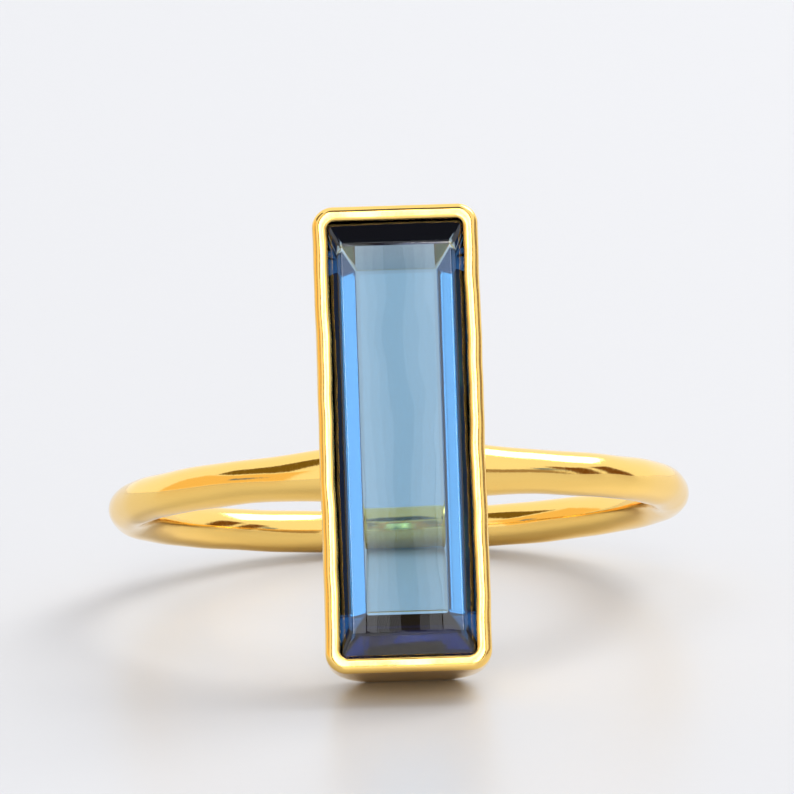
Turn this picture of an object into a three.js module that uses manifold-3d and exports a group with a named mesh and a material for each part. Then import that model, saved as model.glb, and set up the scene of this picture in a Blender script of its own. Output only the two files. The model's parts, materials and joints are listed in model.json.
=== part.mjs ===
// A stackable ring: a round wire band that carries one long baguette-cut stone in a closed setting.
// The setting is a trough with upright ends and an open back. The band stops at both of its long
// sides, and band and setting are soldered into one piece of metal. The stone is held at its girdle
// between a seat below it and the setting's lip above it.
//
// The ring's own frame, in millimetres: X runs across the finger, Y along it and along the stone, Z
// out through the stone, and the origin is the centre of the finger hole. The finished ring lies on
// its side, as it does when it is put down: it leans on the foot of its setting and on the far side
// of its band. There the surface is Z = 0, and the stone faces -Y and a little upwards.

import * as THREE from "three";
import { mergeVertices } from "three/addons/utils/BufferGeometryUtils.js";
import Module from "manifold-3d";

const wasm = await Module();
wasm.setup();

// Band
const FINGER_DIAMETER = 17.3;
const WIRE_DIAMETER = 1.5;

// Stone, sizes over its girdle
const STONE_LENGTH = 15;
const STONE_WIDTH = 4.8;
const GIRDLE_THICKNESS = 0.3;
const CROWN_HEIGHT = 0.3;
const PAVILION_DEPTH = 1.5;

// The cut: each row is one edge of its steps, from the culet up to the table. Rise is a share of the
// pavilion's depth below the girdle, or of the crown's height above it, and the insets from the long
// sides and from the ends are shares of half the stone's width.
const PAVILION_STEPS = [
  { rise: -1, sideInset: 0.44, endInset: 0.71 },
  { rise: -0.3, sideInset: 0.1, endInset: 0.2 },
];
const CROWN_STEPS = [{ rise: 1, sideInset: 0.2, endInset: 0.38 }];

// Setting: its outside, its lip and seat, and the window in its back
const SETTING_HEIGHT = 3.85;
const SETTING_WALL = 0.33;
const SETTING_CORNER = 0.7;
const SETTING_OFFSET = 0.8;
const FINGER_CLEARANCE = 0.25;
const BILGE_HEIGHT = 2.8;
const BILGE_WIDTH = 1.15;
const FOOT_ROUND = 0.25;
const STONE_GAP = 0.06;
const LIP_RISE = 0.3;
const LIP_OVERLAP = 0.12;
const LIP_ROUND = 0.25;
const SEAT_LEDGE = 0.2;
const HOLLOW_TAPER = 0.35;
const BACK_THICKNESS = 0.6;
const WINDOW_WIDTH = 2.7;
const WINDOW_LENGTH = 13.2;

// Solder that widens the band where it meets the setting's sides
const SOLDER_RISE = 0.16;
const SOLDER_SPREAD = 0.16;
const SOLDER_REACH = 3;

// Fineness of the facets that stand for round surfaces
const BAND_STEPS = 144;
const WIRE_STEPS = 16;
const CORNER_STEPS = 5;
const BILGE_STEPS = 6;
const ROUND_STEPS = 3;

const GOLD = { color: 0xe6bc5c, roughness: 0.16, metalness: 1 };
const BLUE_STONE = { color: 0x5d8db8, roughness: 0.04, metalness: 0 };

// Worked out from the sizes above
const fingerRadius = FINGER_DIAMETER / 2;
const wireRadius = WIRE_DIAMETER / 2;
const stoneHalfWidth = STONE_WIDTH / 2;
const stoneHalfLength = STONE_LENGTH / 2;
const settingHalfWidth = stoneHalfWidth + STONE_GAP + SETTING_WALL;
const settingHalfLength = stoneHalfLength + STONE_GAP + SETTING_WALL;
const settingBottom = fingerRadius + FINGER_CLEARANCE;
const rimLevel = settingBottom + SETTING_HEIGHT;
const girdleTop = rimLevel - LIP_RISE;
const girdleBottom = girdleTop - GIRDLE_THICKNESS;
const wallInset = roundedInset(wireRadius - FINGER_CLEARANCE, BILGE_HEIGHT, BILGE_WIDTH);
const jointHalfWidth = settingHalfWidth - wallInset;

// A closed mesh as a solid that can be joined and cut.
function solidOf(geometry) {
  const bare = geometry.clone();
  bare.deleteAttribute("normal");
  bare.deleteAttribute("uv");
  const merged = mergeVertices(bare, 1e-4);
  return new wasm.Manifold(
    new wasm.Mesh({
      numProp: 3,
      vertProperties: merged.getAttribute("position").array,
      triVerts: new Uint32Array(merged.index.array),
    }),
  );
}

// A solid back as a geometry, each facet with its own flat normal.
function geometryOf(solid) {
  const mesh = solid.getMesh();
  const shared = new THREE.BufferGeometry();
  shared.setAttribute("position", new THREE.BufferAttribute(mesh.vertProperties, mesh.numProp));
  shared.setIndex(new THREE.BufferAttribute(mesh.triVerts, 1));
  const faceted = shared.toNonIndexed();
  faceted.computeVertexNormals();
  return faceted;
}

// A rectangle's outline, counter-clockwise, with its corners as arcs where the radius is above zero.
function rectangle(halfWidth, halfLength, radius = 0) {
  const steps = radius > 0 ? CORNER_STEPS : 0;
  const signs = [[1, 1], [-1, 1], [-1, -1], [1, -1]];
  return signs.flatMap(([sx, sy], corner) =>
    Array.from({ length: steps + 1 }, (_, i) => {
      const angle = ((corner + i / Math.max(steps, 1)) * Math.PI) / 2;
      const x = sx * (halfWidth - radius) + radius * Math.cos(angle);
      const y = sy * (halfLength - radius) + radius * Math.sin(angle);
      return new THREE.Vector2(x, y);
    }),
  );
}

// A closed body through outlines of equally many points, listed from the lowest level up.
function loft(levels) {
  const count = levels[0].outline.length;
  const top = (levels.length - 1) * count;
  const points = levels.flatMap(({ z, outline }) => outline.flatMap((p) => [p.x, p.y, z]));
  const faces = [];
  for (let level = 0; level < top; level += count) {
    for (let i = 0; i < count; i++) {
      const a = level + i;
      const b = level + ((i + 1) % count);
      faces.push(a, b, b + count, a, b + count, a + count);
    }
  }
  for (let i = 1; i < count - 1; i++) {
    faces.push(0, i + 1, i, top, top + i, top + i + 1);
  }
  const body = new THREE.BufferGeometry();
  body.setAttribute("position", new THREE.Float32BufferAttribute(points, 3));
  body.setIndex(faces);
  return body;
}

// How far a rounded edge of the given height and width stands back at a rise above its foot.
function roundedInset(rise, height, width) {
  const below = Math.max(0, 1 - rise / height);
  return width * (1 - Math.sqrt(1 - below * below));
}

// The band: a round wire bent round the finger. Near the setting the solder makes it wider along the
// finger and thicker outwards, in a hollow curve, and its inside stays on the finger hole.
function band() {
  const points = [];
  const faces = [];
  for (let i = 0; i < BAND_STEPS; i++) {
    const turn = (2 * Math.PI * i) / BAND_STEPS;
    const fromJoint = Math.abs(Math.PI - turn) * fingerRadius - jointHalfWidth;
    const near = Math.min(1, Math.max(0, 1 - fromJoint / SOLDER_REACH));
    const flare = near * near;
    const deep = wireRadius + (SOLDER_RISE / 2) * flare;
    const wide = wireRadius + SOLDER_SPREAD * flare;
    for (let j = 0; j < WIRE_STEPS; j++) {
      const around = (2 * Math.PI * j) / WIRE_STEPS;
      const radius = fingerRadius + deep + deep * Math.cos(around);
      points.push(radius * Math.sin(turn), wide * Math.sin(around), -radius * Math.cos(turn));
      const a = i * WIRE_STEPS + j;
      const b = i * WIRE_STEPS + ((j + 1) % WIRE_STEPS);
      const next = ((i + 1) % BAND_STEPS) * WIRE_STEPS - i * WIRE_STEPS;
      faces.push(a, b, b + next, a, b + next, a + next);
    }
  }
  const body = new THREE.BufferGeometry();
  body.setAttribute("position", new THREE.Float32BufferAttribute(points, 3));
  body.setIndex(faces);
  return body;
}

// The setting's outside: upright ends, long sides that curve in towards the foot, and a rounded lip.
function settingOutside() {
  const footRises = Array.from({ length: ROUND_STEPS }, (_, i) =>
    FOOT_ROUND * (1 - Math.cos((i / ROUND_STEPS) * (Math.PI / 2))),
  );
  const bilgeRises = Array.from({ length: BILGE_STEPS + 1 }, (_, i) =>
    BILGE_HEIGHT * (1 - Math.cos((i / BILGE_STEPS) * (Math.PI / 2))),
  );
  const rises = [...footRises, FOOT_ROUND, ...bilgeRises.filter((rise) => rise > FOOT_ROUND)];
  const levels = rises.map((rise) => ({
    z: settingBottom + rise,
    outline: rectangle(
      settingHalfWidth - roundedInset(rise, BILGE_HEIGHT, BILGE_WIDTH),
      settingHalfLength - roundedInset(rise, FOOT_ROUND, FOOT_ROUND),
      SETTING_CORNER,
    ),
  }));
  for (let i = 0; i <= ROUND_STEPS; i++) {
    const angle = (i / ROUND_STEPS) * (Math.PI / 2);
    const inset = LIP_ROUND * (1 - Math.cos(angle));
    levels.push({
      z: rimLevel - LIP_ROUND * (1 - Math.sin(angle)),
      outline: rectangle(settingHalfWidth - inset, settingHalfLength - inset, SETTING_CORNER - inset),
    });
  }
  return loft(levels).translate(0, SETTING_OFFSET, 0);
}

// The space inside the setting, from below its back to above its rim: the window, the hollow over
// the back, the seat that slopes with the stone, the pocket for the girdle, and the lip's overhang.
function settingInside() {
  const beyond = 1.5;
  const firstStep = PAVILION_STEPS[PAVILION_STEPS.length - 1];
  const pavilionSlope = (-firstStep.rise * PAVILION_DEPTH) / (firstStep.sideInset * stoneHalfWidth);
  const crownSlope = CROWN_HEIGHT / (CROWN_STEPS[0].sideInset * stoneHalfWidth);
  const seatLevel = girdleBottom - SEAT_LEDGE * pavilionSlope - STONE_GAP;
  const lipLevel = girdleTop + LIP_OVERLAP * crownSlope + STONE_GAP;
  const backLevel = settingBottom + BACK_THICKNESS;
  const windowSide = stoneHalfWidth - WINDOW_WIDTH / 2;
  const windowEnd = stoneHalfLength - WINDOW_LENGTH / 2;
  const hollow = SEAT_LEDGE + HOLLOW_TAPER;
  const rows = [
    { z: settingBottom - beyond, side: windowSide, end: windowEnd },
    { z: backLevel, side: windowSide, end: windowEnd },
    { z: backLevel + STONE_GAP, side: hollow, end: hollow },
    { z: seatLevel, side: SEAT_LEDGE, end: SEAT_LEDGE },
    { z: girdleBottom - STONE_GAP, side: -STONE_GAP, end: -STONE_GAP },
    { z: girdleTop + STONE_GAP / 2, side: -STONE_GAP, end: -STONE_GAP },
    { z: lipLevel, side: LIP_OVERLAP, end: LIP_OVERLAP },
    { z: rimLevel + beyond, side: LIP_OVERLAP, end: LIP_OVERLAP },
  ];
  const levels = rows.map(({ z, side, end }) => ({
    z,
    outline: rectangle(stoneHalfWidth - side, stoneHalfLength - end),
  }));
  return loft(levels).translate(0, SETTING_OFFSET, 0);
}

function bandAndSetting() {
  const joined = solidOf(band()).add(solidOf(settingOutside()));
  const cut = joined.subtract(solidOf(settingInside()));
  const metal = new THREE.Mesh(geometryOf(cut), new THREE.MeshStandardMaterial(GOLD));
  metal.name = "band_and_setting";
  return metal;
}

function barStone() {
  const girdle = { sideInset: 0, endInset: 0 };
  const steps = [
    ...PAVILION_STEPS.map((step) => ({ ...step, z: girdleBottom + step.rise * PAVILION_DEPTH })),
    { ...girdle, z: girdleBottom },
    { ...girdle, z: girdleTop },
    ...CROWN_STEPS.map((step) => ({ ...step, z: girdleTop + step.rise * CROWN_HEIGHT })),
  ];
  const levels = steps.map(({ z, sideInset, endInset }) => ({
    z,
    outline: rectangle((1 - sideInset) * stoneHalfWidth, stoneHalfLength - endInset * stoneHalfWidth),
  }));
  const cut = loft(levels).translate(0, SETTING_OFFSET, 0).toNonIndexed();
  cut.computeVertexNormals();
  const stone = new THREE.Mesh(cut, new THREE.MeshStandardMaterial(BLUE_STONE));
  stone.name = "bar_stone";
  return stone;
}

// How far the finger's axis leans from upright when the ring lies on its side: the surface touches
// the wire's round far side and the round edge of the setting's foot.
function restingLean() {
  const footOut = settingHalfLength - SETTING_OFFSET - FOOT_ROUND;
  const span = settingBottom + FOOT_ROUND + fingerRadius + wireRadius;
  const reach = Math.hypot(footOut, span);
  return Math.atan(footOut / span) - Math.asin((wireRadius - FOOT_ROUND) / reach);
}

const ring = new THREE.Group();
ring.add(bandAndSetting(), barStone());
ring.rotation.x = Math.PI / 2 - restingLean();

// The ring is set down with its lowest point on the surface, and centred over the origin.
const lying = new THREE.Group().add(ring);
lying.updateMatrixWorld(true);
const extent = new THREE.Box3().setFromObject(lying, true);
const middle = extent.getCenter(new THREE.Vector3());
ring.position.set(-middle.x, -middle.y, -extent.min.z);
lying.updateMatrixWorld(true);

export default lying;
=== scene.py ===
"""A gold ring with a long blue baguette stone, lying on its side on a pale floor.

Shapes are worked out in the ring's own frame, in metres: x across the finger, y along it and along
the stone, z out through the stone, with the origin at the centre of the finger hole. The two flat
faces that the frame's record names, the stone's table and the setting's upper end, say how that
frame lies in the row's frame.
"""

import json
import math

import bpy
import numpy as np
from bpy.props import FloatProperty, FloatVectorProperty, PointerProperty
from bpy.types import Operator, Panel, PropertyGroup
from mathutils import Matrix, Vector


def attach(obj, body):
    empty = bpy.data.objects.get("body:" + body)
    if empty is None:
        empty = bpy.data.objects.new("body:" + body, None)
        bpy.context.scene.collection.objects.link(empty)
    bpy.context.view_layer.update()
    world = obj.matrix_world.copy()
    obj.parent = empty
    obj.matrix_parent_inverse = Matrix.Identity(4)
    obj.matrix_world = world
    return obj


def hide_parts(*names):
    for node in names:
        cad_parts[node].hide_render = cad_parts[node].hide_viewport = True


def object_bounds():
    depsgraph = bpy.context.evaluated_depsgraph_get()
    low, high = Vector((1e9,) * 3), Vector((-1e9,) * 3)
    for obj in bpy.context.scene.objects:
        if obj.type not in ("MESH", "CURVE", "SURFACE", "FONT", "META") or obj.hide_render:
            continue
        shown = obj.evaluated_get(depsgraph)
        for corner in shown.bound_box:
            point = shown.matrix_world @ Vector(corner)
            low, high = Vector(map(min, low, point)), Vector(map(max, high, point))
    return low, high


bl_info = {
    "name": "Stackable Ring",
    "version": (1, 0, 0),
    "blender": (4, 5, 0),
    "location": "3D View > Sidebar > Ring",
    "description": "Makes a gold ring with a long blue baguette stone, lying on its side",
    "category": "Add Mesh",
}

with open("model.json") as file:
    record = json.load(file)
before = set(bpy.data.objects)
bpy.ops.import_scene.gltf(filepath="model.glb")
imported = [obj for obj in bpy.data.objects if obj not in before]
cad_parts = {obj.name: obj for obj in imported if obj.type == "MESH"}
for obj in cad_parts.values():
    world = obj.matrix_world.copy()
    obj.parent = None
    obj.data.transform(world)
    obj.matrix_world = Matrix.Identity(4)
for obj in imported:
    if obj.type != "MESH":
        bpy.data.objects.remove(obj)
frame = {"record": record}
cad_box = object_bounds()
MOUNTS = {mount["name"]: mount for mount in frame["record"]["mounts"]}

MM = 0.001
TURN = 2 * math.pi
QUARTER = TURN / 4

# The cut: (rise, side inset, end inset) for each edge of its steps. Rise is a share of the pavilion's
# depth below the girdle or of the crown's height above it, and insets of half the stone's width.
PAVILION = [(-1.0, 0.44, 0.71), (-0.3, 0.1, 0.2)]
CROWN = [(1.0, 0.2, 0.38)]

# The sines that a hand-made surface wanders by: (share, waves along, waves across, phase). The lip's
# are in radians per millimetre. The wire's are whole turns, so that they close on themselves.
LIP_WAVES = [(0.5, 0.9, 1.7, 0.6), (0.3, 2.1, -0.8, 2.0), (0.2, 4.3, 3.1, 4.1)]
WIRE_WAVES = [(0.45, 7, 1, 1.0), (0.3, 13, -2, 2.6), (0.25, 23, 1, 4.0)]

# How far below the girdle the lip's drift ends, how much of it goes up and down, how that drift's
# sines are shifted, in millimetres, and stretched, and what the finger's side keeps of the ripple.
DRIFT_DEPTH = 0.6 * MM
DRIFT_UP_AND_DOWN = 0.6
DRIFT_SHIFT = 3
DRIFT_STRETCH = 0.7
RIPPLE_INSIDE = 0.3

# How finely the shapes are cut up: points along each curve or straight.
FOOT_POINTS = 9
SIDE_POINTS = 30
LIP_POINTS = 13
CORNER_POINTS = 15
STRAIGHT_POINTS = 48
JOINT_POINTS = 60
FAR_BAND_POINTS = 130
WIRE_POINTS = 64

# Edges sharper than these stay crisp when the rest is shaded smooth.
SETTING_CREASE = math.radians(35)
BAND_CREASE = math.radians(50)

TOPAZ_IOR = 1.62

# The room round the table: a pale wall, its brightness, and the degrees over which a thing's edge
# fades. Each thing has a name, the degrees it covers round from the stone's side, from and to, and
# above the floor, from and to, how much of the wall it hides, and a colour.
WALL = (0.93, 0.95, 1.0, 1)
ROOM_LIGHT = 1.15
SOFT_EDGE = 1.5
ROOM_THINGS = [
    ("amber wall", -112, -50, 1, 30, 0.85, "#EBC67E"),
    ("picture frame", -102, -60, 33, 63, 1.0, "#72602B"),
    ("left blue jar", -72, -64, 12, 18, 0.9, "#4F78C0"),
    ("sill", 36, 70, -4, 12, 0.8, "#7A5A2B"),
    ("near chair", 73, 85, -4, 24, 1.0, "#6E4A22"),
    ("far chair", 90, 105, -4, 24, 1.0, "#6E4A22"),
    ("right blue jar", 63, 72, 12, 18, 0.9, "#4F78C0"),
    ("dark lintel", -30, 30, 52, 76, 0.9, "#1E2644"),
    ("left window post", -24, -11, 8, 46, 0.8, "#745D30"),
    ("middle window post", -3, 5, 8, 46, 0.9, "#745D30"),
    ("right window post", 13, 26, 8, 46, 0.8, "#745D30"),
]

# The lights: name, direction from the ring, how far away, width and height, watts, and colour. The
# window is two panes, because the table mirrors the bar between them and the side facets the panes:
# this keeps the stone's middle dim between two bright strips.
LIGHTS = [
    ("left window pane", (-0.068, -0.9, 0.45), 0.9, (0.112, 0.55), 1.15, "#FFF1DE"),
    ("right window pane", (0.088, -0.9, 0.45), 0.9, (0.104, 0.55), 1.07, "#FFF1DE"),
    ("key", (0.7, 0.45, 1.0), 0.6, (0.35, 0.35), 2.2, "#FFFBF4"),
]
LIGHTS_AIM = Vector((0, 0, 6 * MM))

# The thin curtain's folds between the panes: degrees round from the stone's side, from and to, and
# how bright each is beside a white wall in full light. The curtain's distance, rise and drop follow.
FOLDS = [
    (-0.2, 0.5, 2.1),
    (0.5, 0.6, 1.7),
    (0.6, 0.7, 1.2),
    (0.7, 0.79, 0.7),
    (0.98, 1.08, 0.7),
    (1.08, 1.2, 1.3),
    (1.2, 1.85, 1.9),
]
FOLD_AWAY = 0.9
FOLD_RISE = math.radians(26.6)
FOLD_DROP = 0.55
FOLD_TINT = "#F4F8FF"

# A colour mix's two colour inputs and its colour output, by their places among the sockets.
MIX_A = 6
MIX_B = 7
MIX_RESULT = 2

FLOOR_REACH = 1.5
SENSOR_WIDTH = 36.0
NEAREST_SEEN = 0.01
FARTHEST_SEEN = 20.0


def linear(hex_colour):
    """An sRGB hex colour as linear red, green and blue, by the two branches of the sRGB curve."""
    channels = [int(hex_colour[i : i + 2], 16) / 255 for i in (1, 3, 5)]
    return tuple(c / 12.92 if c <= 0.04045 else ((c + 0.055) / 1.055) ** 2.4 for c in channels)


def length(name, description, millimetres):
    """A size property, given in millimetres and kept in metres."""
    return FloatProperty(
        name=name,
        description=description,
        default=millimetres * MM,
        min=0.0,
        precision=5,
        unit="LENGTH",
    )


def colour(name, description, hex_colour):
    """A colour property, given as sRGB hex and kept linear."""
    return FloatVectorProperty(
        name=name,
        description=description,
        default=linear(hex_colour),
        min=0.0,
        max=1.0,
        size=3,
        subtype="COLOR",
    )


class RingBandSettings(PropertyGroup):
    finger: length("Finger hole", "Diameter of the hole for the finger", 17.3)
    wire: length("Wire", "Diameter of the band's round wire", 1.5)
    solder_rise: length("Solder rise", "How much the solder thickens the band outwards", 0.16)
    solder_spread: length("Solder spread", "How much the solder widens the band each way", 0.16)
    solder_reach: length("Solder reach", "How far the solder runs along the band", 3.0)
    ripple: length("Ripple", "How far the hand-drawn wire's surface wanders", 0.03)


class RingStoneSettings(PropertyGroup):
    length: length("Length", "Length over the girdle", 15.0)
    width: length("Width", "Width over the girdle", 4.8)
    girdle: length("Girdle", "Thickness of the girdle", 0.3)
    crown: length("Crown", "Height of the table above the girdle", 0.3)
    pavilion: length("Pavilion", "Depth of the culet below the girdle", 1.5)
    facet_edge: length("Facet edge", "Width of the worn edge between two facets", 0.1)
    skew: length("Skew", "How much lower the hand-cut culet lies on one side", 0.02)


class RingSettingSettings(PropertyGroup):
    height: length("Height", "Height of the setting from foot to rim", 3.85)
    wall: length("Wall", "Thickness of the setting's wall at the girdle", 0.33)
    corner: length("Corner", "Radius of the upright corners", 0.7)
    offset: length("Offset", "How far the setting stands off the band's middle", 0.8)
    clearance: length("Clearance", "Gap between the foot and the finger hole", 0.25)
    bilge_height: length("Bilge height", "Height over which the long sides curve in", 2.8)
    bilge_width: length("Bilge width", "How far the long sides curve in at the foot", 1.15)
    foot_round: length("Foot rounding", "Radius of the foot's edges", 0.25)
    gap: length("Gap", "Clearance between stone and metal", 0.06)
    lip_rise: length("Lip rise", "Height of the rim above the girdle", 0.3)
    lip_overlap: length("Lip overlap", "How far the lip reaches over the stone", 0.12)
    lip_round: length("Lip rounding", "Radius of the rim's outer edge", 0.25)
    lip_corner: length("Lip corners", "Radius of the lip's inner corners", 0.22)
    lip_inner_round: length("Inner rounding", "Radius of the rim's inner edge", 0.13)
    seat: length("Seat", "Width of the seat under the girdle", 0.2)
    taper: length("Taper", "How far the hollow closes in towards the back", 0.35)
    back: length("Back", "Thickness of the setting's back", 0.6)
    window_width: length("Window width", "Width of the opening in the back", 2.7)
    window_length: length("Window length", "Length of the opening in the back", 13.2)
    unevenness: length("Unevenness", "How far the hand-rubbed lip wanders", 0.035)


class RingFinishSettings(PropertyGroup):
    gold: colour("Gold", "Colour of the polished gold plating", "#FFD578")
    polish: FloatProperty(
        name="Polish",
        description="Roughness of the polished gold",
        default=0.09,
        min=0.0,
        max=1.0,
        subtype="FACTOR",
    )
    stone_body: colour("Stone", "White light after one millimetre of the stone", "#C1D8E6")
    paper: colour("Floor", "Colour of the pale floor", "#C6C8CC")


class RingStageSettings(PropertyGroup):
    below_stone: FloatProperty(
        name="Camera below the stone",
        description="Angle from the stone's outward direction down to the camera",
        default=math.radians(6.9),
        subtype="ANGLE",
    )
    beside_stone: FloatProperty(
        name="Camera beside the stone",
        description="Angle from the stone's outward direction across to the camera",
        default=math.radians(-0.8),
        subtype="ANGLE",
    )
    roll: FloatProperty(
        name="Camera roll",
        description="How far the ring is turned anticlockwise in the picture",
        default=math.radians(1.9),
        subtype="ANGLE",
    )
    distance: length("Camera distance", "Distance from the camera to the ring", 300.0)
    view_width: length("View width", "Width of the picture at the ring", 27.5)


def settings():
    """The scene's property groups by short names."""
    scene = bpy.context.scene
    return scene.ring_band, scene.ring_stone, scene.ring_setting, scene.ring_finish, scene.ring_stage


def levels():
    """Heights above the finger's centre: the foot, the rim, and the girdle's top and bottom."""
    band, stone, setting, _, _ = settings()
    foot = band.finger / 2 + setting.clearance
    rim = foot + setting.height
    girdle_top = rim - setting.lip_rise
    return foot, rim, girdle_top, girdle_top - stone.girdle


def ring_axes():
    """The ring's across, along and outward directions in the row's frame, as rows of an array."""
    outward = np.array(MOUNTS["stone_table"]["axis"], float)
    along = np.array(MOUNTS["setting_end"]["axis"], float)
    return np.stack([np.cross(along, outward), along, outward])


def ring_origin():
    """The centre of the finger hole: the table's middle, less its height and its offset."""
    _, stone, setting, _, _ = settings()
    table = levels()[2] + stone.crown
    return np.array(MOUNTS["stone_table"]["pos_m"]) - [0, setting.offset, table] @ ring_axes()


def to_row(points):
    """Points of the ring's own frame in the row's frame: a turn onto its axes and a shift."""
    return points @ ring_axes() + ring_origin()


def mesh_piece(name, points, faces, material, sharp_angle=None):
    """A mesh object at the origin, its points given in the ring's own frame."""
    mesh = bpy.data.meshes.new(name)
    mesh.from_pydata(to_row(points), [], faces)
    mesh.validate()
    if sharp_angle is not None:
        mesh.shade_smooth()
        mesh.set_sharp_from_angle(angle=sharp_angle)
    mesh.materials.append(material)
    piece = bpy.data.objects.new(name, mesh)
    bpy.context.scene.collection.objects.link(piece)
    return piece


def grid_faces(rows, columns, closed_rows):
    """Quads over a grid whose columns close on themselves, and whose rows do so if asked."""
    row = np.arange(rows if closed_rows else rows - 1)[:, None]
    column = np.arange(columns)[None, :]
    above = (row + 1) % rows
    beside = (column + 1) % columns
    corners = [
        row * columns + column,
        row * columns + beside,
        above * columns + beside,
        above * columns + column,
    ]
    return np.stack(np.broadcast_arrays(*corners), -1).reshape(-1, 4)


def rounded_inset(rise, height, width):
    """How far a rounded edge stands back: a quarter ellipse of the given height and width."""
    below = np.clip(1 - rise / height, 0, 1)
    return width * (1 - np.sqrt(1 - below**2))


def outline_weights(arc_steps, side_steps):
    """Weights that turn half width, half length and corner radius into points round a rectangle.

    A corner's arc is its corner point plus the radius times (cosine less the corner's sign, sine
    less it). A straight side runs evenly from the end of one arc to the start of the next.
    """
    quarter = np.linspace(0, QUARTER, arc_steps)
    run = np.linspace(0, 1, side_steps, endpoint=False)[1:, None]
    arcs = []
    for corner, (sx, sy) in enumerate([(1, 1), (-1, 1), (-1, -1), (1, -1)]):
        angle = quarter + corner * QUARTER
        ones = np.ones_like(angle)
        arcs.append(np.stack([sx * ones, sy * ones, np.cos(angle) - sx, np.sin(angle) - sy], 1))
    parts = []
    for arc, following in zip(arcs, arcs[1:] + arcs[:1]):
        parts += [arc, arc[-1] * (1 - run) + following[0] * run]
    return np.concatenate(parts)


def setting_profile():
    """The setting's wall as one closed loop of (height, inset from the sides, from the ends, corner).

    It climbs the outside from the foot, where quarter ellipses round the bilge and the foot, rounds
    the lip in two quarter circles, drops past the girdle's pocket, the seat and the hollow to the
    back, and leaves through the window. Insets count from the outside. The seat is parallel to the
    pavilion's upper step, and the lip's underside to the crown.
    """
    _, stone, setting, _, _ = settings()
    foot, rim, girdle_top, girdle_bottom = levels()
    quarter = np.linspace(0, QUARTER, LIP_POINTS)
    to_girdle = setting.wall + setting.gap

    foot_rises = setting.foot_round * (1 - np.cos(np.linspace(0, QUARTER, FOOT_POINTS)))
    lip_foot = setting.height - setting.lip_round
    side_rises = np.linspace(setting.foot_round, lip_foot, SIDE_POINTS)[1:]
    rises = np.concatenate([foot_rises, side_rises])
    outside = np.stack(
        [
            foot + rises,
            rounded_inset(rises, setting.bilge_height, setting.bilge_width),
            rounded_inset(rises, setting.foot_round, setting.foot_round),
            np.full_like(rises, setting.corner),
        ],
        1,
    )
    outer_round = setting.lip_round * (1 - np.cos(quarter[1:]))
    lip_outer = np.stack(
        [
            rim - setting.lip_round * (1 - np.sin(quarter[1:])),
            outer_round,
            outer_round,
            setting.corner - outer_round,
        ],
        1,
    )
    lip_inset = to_girdle + setting.lip_overlap
    inner_round = lip_inset - setting.lip_inner_round * (1 - np.sin(quarter))
    lip_inner = np.stack(
        [
            rim - setting.lip_inner_round * (1 - np.cos(quarter)),
            inner_round,
            inner_round,
            np.linspace(setting.corner - setting.lip_round, setting.lip_corner, len(quarter)),
        ],
        1,
    )
    half_width = stone.width / 2
    _, table_inset, _ = CROWN[0]
    crown_slope = stone.crown / (table_inset * half_width)
    step_rise, step_inset, _ = PAVILION[-1]
    pavilion_slope = -step_rise * stone.pavilion / (step_inset * half_width)
    back = foot + setting.back
    hollow = to_girdle + setting.seat + setting.taper
    window_side = to_girdle + half_width - setting.window_width / 2
    window_end = to_girdle + stone.length / 2 - setting.window_length / 2
    edge = setting.gap
    inside = np.array(
        [
            (
                girdle_top + setting.lip_overlap * crown_slope + setting.gap,
                lip_inset,
                lip_inset,
                setting.lip_corner,
            ),
            (girdle_top + setting.gap / 2, setting.wall, setting.wall, edge),
            (girdle_bottom - setting.gap, setting.wall, setting.wall, edge),
            (
                girdle_bottom - setting.seat * pavilion_slope - setting.gap,
                to_girdle + setting.seat,
                to_girdle + setting.seat,
                edge,
            ),
            (back + edge, hollow, hollow, 2 * edge),
            (back, hollow + edge, hollow + edge, 2 * edge),
            (back, window_side - edge, window_end - edge, 2 * edge),
            (back - edge, window_side, window_end, 2 * edge),
            (foot + edge, window_side, window_end, 2 * edge),
            (foot, window_side - edge, window_end - edge, 2 * edge),
        ]
    )
    return np.concatenate([outside, lip_outer, lip_inner, inside])


def wander(waves, along, across):
    """A hand-made surface's drift, between -1 and 1: the sum of its sines over two coordinates."""
    return sum(
        share * np.sin(turns_along * along + turns_across * across + phase)
        for share, turns_along, turns_across, phase in waves
    )


def make_setting_mesh(material):
    """The setting: its closed wall profile carried round rectangles with rounded corners.

    Point (row, column) is the row's rectangle, of half size less inset, at the column's place round
    it. Near the rim the straight sides drift sideways and all of it up and down by the hand-rubbed
    unevenness, which fades out with the square of the depth, a little below the girdle.
    """
    _, stone, setting, _, _ = settings()
    _, rim, girdle_top, _ = levels()
    profile = setting_profile()
    weights = outline_weights(CORNER_POINTS, STRAIGHT_POINTS)
    half_width = stone.width / 2 + setting.gap + setting.wall
    half_length = stone.length / 2 + setting.gap + setting.wall
    height, side, end, corner = (profile[:, [i]] for i in range(4))
    x = (half_width - side) * weights[:, 0] + corner * weights[:, 2]
    y = (half_length - end) * weights[:, 1] + corner * weights[:, 3]
    z = np.broadcast_to(height, x.shape)
    still = girdle_top - DRIFT_DEPTH
    fade = setting.unevenness * np.clip((z - still) / (rim - still), 0, 1) ** 2
    on_side = np.isclose(np.abs(weights[:, 0]), 1)
    drift = fade * wander(LIP_WAVES, y / MM, np.sign(x) * half_width / MM)
    x = x + drift * np.sign(x) * on_side
    lift = wander(LIP_WAVES, y / MM + DRIFT_SHIFT, DRIFT_STRETCH * x / MM)
    z = z + DRIFT_UP_AND_DOWN * fade * lift
    points = np.stack([x, y + setting.offset, z], -1).reshape(-1, 3)
    faces = grid_faces(len(profile), len(weights), closed_rows=True)
    return mesh_piece("setting", points, faces.tolist(), material, SETTING_CREASE)


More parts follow.
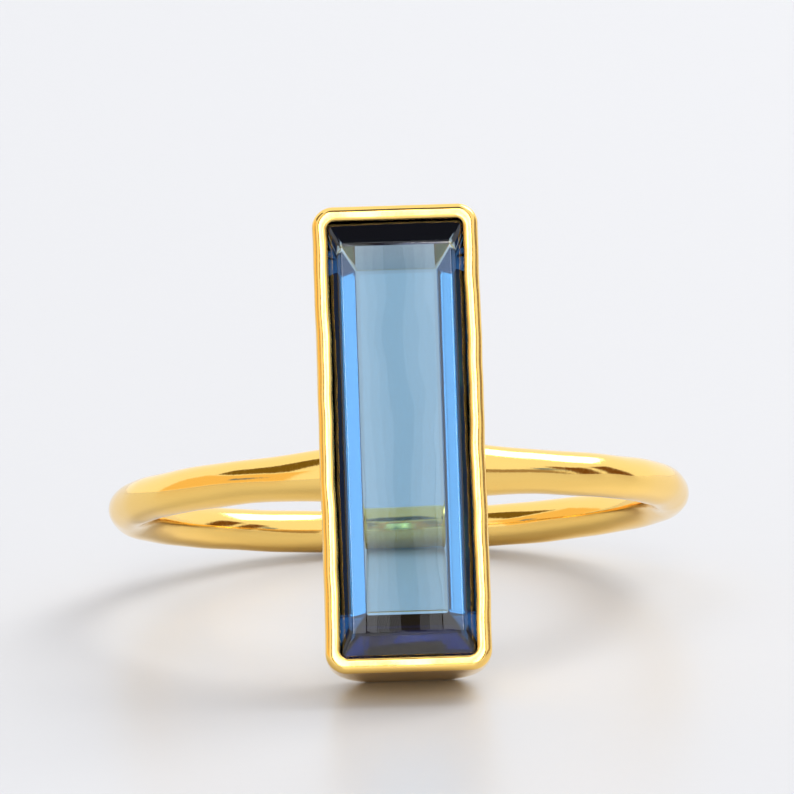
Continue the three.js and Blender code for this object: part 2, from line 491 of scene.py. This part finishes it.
def make_band_mesh(material):
    """The band: a round section carried round the finger, from inside one joint to the other.

    At turn t the section's middle lies on a circle, and its half thickness and half width grow
    towards the joints with the square of the nearness, one at the setting's wall and nothing at the
    solder's reach, so the solder runs out in a hollow curve. Its inside stays on the finger hole.
    The hand-drawn wire's ripple is full on the outside and nearly a third of that on the inside.
    """
    band, stone, setting, _, _ = settings()
    radius = band.finger / 2
    wire = band.wire / 2
    behind_window = 0.02 * MM
    end = math.asin((setting.window_width / 2 + behind_window) / radius)
    wall_in = rounded_inset(wire - setting.clearance, setting.bilge_height, setting.bilge_width)
    join = (stone.width / 2 + setting.gap + setting.wall - wall_in) / radius
    near_join = np.linspace(end, join + band.solder_reach / radius, JOINT_POINTS)
    far = np.linspace(near_join[-1], math.pi, FAR_BAND_POINTS)[1:]
    turn = np.concatenate([near_join, far, TURN - far[-2::-1], TURN - near_join[::-1]])
    from_join = np.minimum(turn, TURN - turn) - join
    near = np.clip(1 - from_join * radius / band.solder_reach, 0, 1)
    flare = (near**2)[:, None]
    deep = wire + band.solder_rise / 2 * flare
    wide = wire + band.solder_spread * flare
    around = np.linspace(0, TURN, WIRE_POINTS, endpoint=False)
    kept = (1 + RIPPLE_INSIDE) / 2 + (1 - RIPPLE_INSIDE) / 2 * np.cos(around)
    ripple = band.ripple * kept * wander(WIRE_WAVES, turn[:, None], around)
    reach = radius + deep + (deep + ripple) * np.cos(around)
    points = np.stack(
        [
            reach * np.sin(turn)[:, None],
            -(wide + ripple) * np.sin(around),
            reach * np.cos(turn)[:, None],
        ],
        -1,
    )
    rows, columns = reach.shape
    faces = grid_faces(rows, columns, closed_rows=False).tolist()
    first = list(range(columns))
    faces += [first[::-1], [(rows - 1) * columns + i for i in first]]
    return mesh_piece("band", points.reshape(-1, 3), faces, material, BAND_CREASE)


def make_stone_mesh(material):
    """The stone: rectangles stacked from culet to table, joined by flat facets.

    A corner at a level is plus or minus (half width less side inset, half length less end inset).
    The culet lies a little lower on one side, as cut by hand. The facets meet in narrow worn edges,
    which round off the step in brightness from one facet to the next.
    """
    _, stone, setting, _, _ = settings()
    _, _, girdle_top, girdle_bottom = levels()
    half_width = stone.width / 2
    rows = [(girdle_bottom + rise * stone.pavilion, side, end) for rise, side, end in PAVILION]
    rows += [(girdle_bottom, 0, 0), (girdle_top, 0, 0)]
    rows += [(girdle_top + rise * stone.crown, side, end) for rise, side, end in CROWN]
    height, side, end = (np.array(rows)[:, [i]] for i in range(3))
    sx = np.array([1, -1, -1, 1])
    sy = np.array([1, 1, -1, -1])
    corners = len(sx)
    x = half_width * (1 - side) * sx
    y = (stone.length / 2 - half_width * end) * sy + setting.offset
    z = np.broadcast_to(height, x.shape).copy()
    culet = 0
    z[culet] -= stone.skew / 2 * sx
    points = np.stack([x, y, z], -1).reshape(-1, 3)
    faces = grid_faces(len(rows), corners, closed_rows=False).tolist()
    top = corners * (len(rows) - 1)
    faces += [[3, 2, 1, 0], [top, top + 1, top + 2, top + 3]]
    piece = mesh_piece("bar_stone_cut", points, faces, material)
    piece.data.shade_smooth()
    worn = piece.modifiers.new("worn facet edges", "BEVEL")
    worn.width = stone.facet_edge
    worn.segments = 4
    worn.limit_method = "ANGLE"
    worn.angle_limit = math.radians(5)
    worn.harden_normals = True
    return piece


def add(tree, kind, inputs=None, **values):
    """Adds a node, sets its values, and sets or links its inputs."""
    node = tree.nodes.new(kind)
    for name, value in values.items():
        setattr(node, name, value)
    for socket, value in (inputs or {}).items():
        if isinstance(value, bpy.types.NodeSocket):
            tree.links.new(value, node.inputs[socket])
        else:
            node.inputs[socket].default_value = value
    return node


def new_material(name):
    """An empty node material and its tree."""
    material = bpy.data.materials.new(name)
    material.use_nodes = True
    material.node_tree.nodes.clear()
    return material, material.node_tree


def per_metre(millimetres):
    """The scale at which a noise's features are about this many millimetres apart."""
    return 1 / (millimetres * MM)


def buffed_gold():
    """Yellow gold plating over silver, buffed by hand: mirror bright, with faint waves and rubs.

    The waves bend long reflections a little, and the fine rubs make some spots glossier than others.
    """
    finish = bpy.context.scene.ring_finish
    material, tree = new_material("buffed gold plating")
    place = add(tree, "ShaderNodeTexCoord").outputs["Object"]
    waves = add(
        tree,
        "ShaderNodeTexNoise",
        {"Vector": place, "Scale": per_metre(1.6), "Detail": 1.0, "Roughness": 0.4},
    )
    rubs = add(
        tree,
        "ShaderNodeTexNoise",
        {"Vector": place, "Scale": per_metre(0.12), "Detail": 3.0, "Roughness": 0.6},
    )
    rough = add(
        tree,
        "ShaderNodeMapRange",
        {
            "Value": rubs.outputs["Fac"],
            "From Min": 0.35,
            "From Max": 0.75,
            "To Min": finish.polish * 0.7,
            "To Max": finish.polish * 1.8,
        },
    )
    wavy = add(
        tree,
        "ShaderNodeBump",
        {"Height": waves.outputs["Fac"], "Strength": 1.0, "Distance": 0.03 * MM},
    )
    rubbed = add(
        tree,
        "ShaderNodeBump",
        {
            "Height": rubs.outputs["Fac"],
            "Strength": 0.6,
            "Distance": 0.002 * MM,
            "Normal": wavy.outputs["Normal"],
        },
    )
    shader = add(
        tree,
        "ShaderNodeBsdfPrincipled",
        {
            "Base Color": (*finish.gold, 1),
            "Metallic": 1.0,
            "Roughness": rough.outputs["Result"],
            "Normal": rubbed.outputs["Normal"],
        },
    )
    add(tree, "ShaderNodeOutputMaterial", {"Surface": shader.outputs["BSDF"]})
    return material


def blue_topaz():
    """Deep blue topaz, cut and polished: clear, with a colour that deepens with the light's path.

    What a millimetre takes from each colour is minus the logarithm of what it lets through. A very
    shallow swell, as lapping leaves it, keeps the mirrored edges from being ruler straight.
    """
    finish = bpy.context.scene.ring_finish
    material, tree = new_material("deep blue topaz")
    place = add(tree, "ShaderNodeTexCoord").outputs["Object"]
    swell = add(tree, "ShaderNodeTexNoise", {"Vector": place, "Scale": per_metre(3.0), "Detail": 1.0})
    lapped = add(
        tree,
        "ShaderNodeBump",
        {"Height": swell.outputs["Fac"], "Strength": 1.0, "Distance": 0.0015 * MM},
    )
    shader = add(
        tree,
        "ShaderNodeBsdfPrincipled",
        {
            "Base Color": (1, 1, 1, 1),
            "Roughness": 0.0,
            "IOR": TOPAZ_IOR,
            "Transmission Weight": 1.0,
            "Normal": lapped.outputs["Normal"],
        },
    )
    taken = [-math.log(channel) / MM for channel in finish.stone_body]
    density = max(taken) * 1.02
    depth = add(
        tree,
        "ShaderNodeVolumeAbsorption",
        {"Color": (*[1 - t / density for t in taken], 1), "Density": density},
    )
    add(
        tree,
        "ShaderNodeOutputMaterial",
        {"Surface": shader.outputs["BSDF"], "Volume": depth.outputs["Volume"]},
    )
    return material


def pale_paper():
    """Satin white board with a faint pressed grain: it mirrors softly what stands close to it."""
    finish = bpy.context.scene.ring_finish
    material, tree = new_material("satin white board")
    place = add(tree, "ShaderNodeTexCoord").outputs["Object"]
    grain = add(tree, "ShaderNodeTexNoise", {"Vector": place, "Scale": per_metre(0.8), "Detail": 2.0})
    relief = add(
        tree,
        "ShaderNodeBump",
        {"Height": grain.outputs["Fac"], "Strength": 0.15, "Distance": 0.05 * MM},
    )
    shader = add(
        tree,
        "ShaderNodeBsdfPrincipled",
        {
            "Base Color": (*finish.paper, 1),
            "Roughness": 0.38,
            "Normal": relief.outputs["Normal"],
        },
    )
    add(tree, "ShaderNodeOutputMaterial", {"Surface": shader.outputs["BSDF"]})
    return material


def place_on_root(piece, node):
    """Fixes a finished piece to the ring's one body, in the place of its CAD node."""
    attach(piece, "root")
    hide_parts(node)


class RING_OT_make_metal(Operator):
    """Makes the band and the setting, in polished gold"""

    bl_idname = "ring.make_metal"
    bl_label = "Make Band and Setting"

    def execute(self, context):
        gold = buffed_gold()
        for make in (make_band_mesh, make_setting_mesh):
            place_on_root(make(gold), "band_and_setting")
        return {"FINISHED"}


class RING_OT_make_stone(Operator):
    """Makes the long blue stone"""

    bl_idname = "ring.make_stone"
    bl_label = "Make Stone"

    def execute(self, context):
        place_on_root(make_stone_mesh(blue_topaz()), "bar_stone")
        return {"FINISHED"}


def softbox(name, direction, away, size, watts, tint):
    """A rectangular light that stands off in a direction from the ring and faces it."""
    light = bpy.data.lights.new(name, "AREA")
    light.shape = "RECTANGLE"
    light.size, light.size_y = size
    light.energy = watts
    light.color = linear(tint)
    box = bpy.data.objects.new(name, light)
    toward = Vector(direction).normalized()
    box.location = LIGHTS_AIM + toward * away
    box.rotation_euler = toward.to_track_quat("Z", "Y").to_euler()
    bpy.context.scene.collection.objects.link(box)


def smooth_step(tree, value, low, high, first=0.0, last=1.0):
    """A smooth change from one value to another while the input goes from low to high."""
    return add(
        tree,
        "ShaderNodeMapRange",
        {"Value": value, "From Min": low, "From Max": high, "To Min": first, "To Max": last},
        interpolation_type="SMOOTHSTEP",
    ).outputs["Result"]


def between(tree, angle, low, high):
    """One where an angle lies between two others, given in degrees, and zero outside, softly."""
    soft = math.radians(SOFT_EDGE)
    low, high = math.radians(low), math.radians(high)
    up = smooth_step(tree, angle, low - soft, low + soft)
    down = smooth_step(tree, angle, high - soft, high + soft, 1.0, 0.0)
    return add(tree, "ShaderNodeMath", {0: up, 1: down}, operation="MULTIPLY").outputs[0]


def studio_world():
    """The pale room round the table, with the darker things that stand in it.

    Polished metal shows its shape only by dark things that it reflects between the white ones. The
    angle round from the stone's side is the arctangent of x over minus y, and the angle above the
    floor the arcsine of z.
    """
    world = bpy.data.worlds.new("pale studio")
    bpy.context.scene.world = world
    world.use_nodes = True
    tree = world.node_tree
    tree.nodes.clear()
    direction = add(tree, "ShaderNodeTexCoord").outputs["Generated"]
    axes = add(tree, "ShaderNodeSeparateXYZ", {"Vector": direction}).outputs
    ahead = add(tree, "ShaderNodeMath", {0: axes["Y"], 1: -1.0}, operation="MULTIPLY").outputs[0]
    turn = add(tree, "ShaderNodeMath", {0: axes["X"], 1: ahead}, operation="ARCTAN2").outputs[0]
    rise = add(tree, "ShaderNodeMath", {0: axes["Z"]}, operation="ARCSINE").outputs[0]
    room = WALL
    for name, left, right, low, high, cover, hex_colour in ROOM_THINGS:
        inside = add(
            tree,
            "ShaderNodeMath",
            {0: between(tree, turn, left, right), 1: between(tree, rise, low, high)},
            operation="MULTIPLY",
        ).outputs[0]
        share = add(tree, "ShaderNodeMath", {0: inside, 1: cover}, operation="MULTIPLY").outputs[0]
        mixed = add(
            tree,
            "ShaderNodeMix",
            {"Factor": share, MIX_A: room, MIX_B: (*linear(hex_colour), 1)},
            data_type="RGBA",
            label=name,
        )
        room = mixed.outputs[MIX_RESULT]
    background = add(tree, "ShaderNodeBackground", {"Color": room, "Strength": ROOM_LIGHT})
    add(tree, "ShaderNodeOutputWorld", {"Surface": background.outputs["Background"]})


def photo_camera(stage):
    """The camera: off the stone's outward direction by two angles, rolled, with a long lens.

    Its direction is (sine of beside times cosine of below, less sine of below, the cosines) on the
    ring's axes. Its lens is the sensor's width times distance over the width of the view.
    """
    across, along, outward = (Vector(axis) for axis in ring_axes())
    below, beside = stage.below_stone, stage.beside_stone
    toward = (
        across * (math.sin(beside) * math.cos(below))
        - along * math.sin(below)
        + outward * (math.cos(beside) * math.cos(below))
    )
    right = along.cross(toward).normalized()
    up = toward.cross(right)
    rolled_right = right * math.cos(stage.roll) - up * math.sin(stage.roll)
    rolled_up = toward.cross(rolled_right)
    low, high = (Vector(corner) for corner in cad_box)
    middle = (low + high) / 2
    data = bpy.data.cameras.new("photo camera")
    data.sensor_width = SENSOR_WIDTH
    data.lens = SENSOR_WIDTH * stage.distance / stage.view_width
    data.clip_start = NEAREST_SEEN
    data.clip_end = FARTHEST_SEEN
    camera = bpy.data.objects.new("photo camera", data)
    turn = Matrix((rolled_right, rolled_up, toward)).transposed().to_4x4()
    camera.matrix_world = Matrix.Translation(middle + toward * stage.distance) @ turn
    bpy.context.scene.collection.objects.link(camera)
    bpy.context.scene.camera = camera


def curtain():
    """The curtain's folds: lights side by side, each as wide as its angle at the curtain's distance.

    A fold's watts are its brightness times pi times its area. The table mirrors them as the soft
    upright streaks in the stone's middle.
    """
    for left, right, brightness in FOLDS:
        turn = math.radians((left + right) / 2)
        direction = (
            math.sin(turn) * math.cos(FOLD_RISE),
            -math.cos(turn) * math.cos(FOLD_RISE),
            math.sin(FOLD_RISE),
        )
        width = math.radians(right - left) * FOLD_AWAY * math.cos(FOLD_RISE)
        watts = brightness * math.pi * width * FOLD_DROP
        softbox("curtain fold", direction, FOLD_AWAY, (width, FOLD_DROP), watts, FOLD_TINT)


class RING_OT_make_stage(Operator):
    """Makes the pale floor, the soft lights and the camera"""

    bl_idname = "ring.make_stage"
    bl_label = "Make Stage"

    def execute(self, context):
        mesh = bpy.data.meshes.new("floor")
        signs = [(-1, -1), (1, -1), (1, 1), (-1, 1)]
        corners = [(x * FLOOR_REACH, y * FLOOR_REACH, 0) for x, y in signs]
        mesh.from_pydata(corners, [], [(0, 1, 2, 3)])
        mesh.materials.append(pale_paper())
        floor = bpy.data.objects.new("floor", mesh)
        context.scene.collection.objects.link(floor)
        studio_world()
        for light in LIGHTS:
            softbox(*light)
        curtain()
        context.scene.view_settings.view_transform = "Standard"
        photo_camera(context.scene.ring_stage)
        return {"FINISHED"}


class RING_PT_panel(Panel):
    """Lists the steps that make the ring"""

    bl_idname = "RING_PT_panel"
    bl_label = "Ring"
    bl_space_type = "VIEW_3D"
    bl_region_type = "UI"
    bl_category = "Ring"

    def draw(self, context):
        for step in STEPS:
            self.layout.operator(step.bl_idname)


STEPS = (RING_OT_make_stage, RING_OT_make_metal, RING_OT_make_stone)
GROUPS = {
    "ring_band": RingBandSettings,
    "ring_stone": RingStoneSettings,
    "ring_setting": RingSettingSettings,
    "ring_finish": RingFinishSettings,
    "ring_stage": RingStageSettings,
}


def register():
    """Adds the property groups, the steps and the panel."""
    for kind in (*GROUPS.values(), *STEPS, RING_PT_panel):
        bpy.utils.register_class(kind)
    for name, group in GROUPS.items():
        setattr(bpy.types.Scene, name, PointerProperty(type=group))


def unregister():
    """Takes them off again."""
    for name in GROUPS:
        delattr(bpy.types.Scene, name)
    for kind in reversed((*GROUPS.values(), *STEPS, RING_PT_panel)):
        bpy.utils.unregister_class(kind)


def main():
    """Makes the ring on its stage."""
    register()
    bpy.ops.ring.make_stage()
    bpy.ops.ring.make_metal()
    bpy.ops.ring.make_stone()


if __name__ == "__main__":
    main()
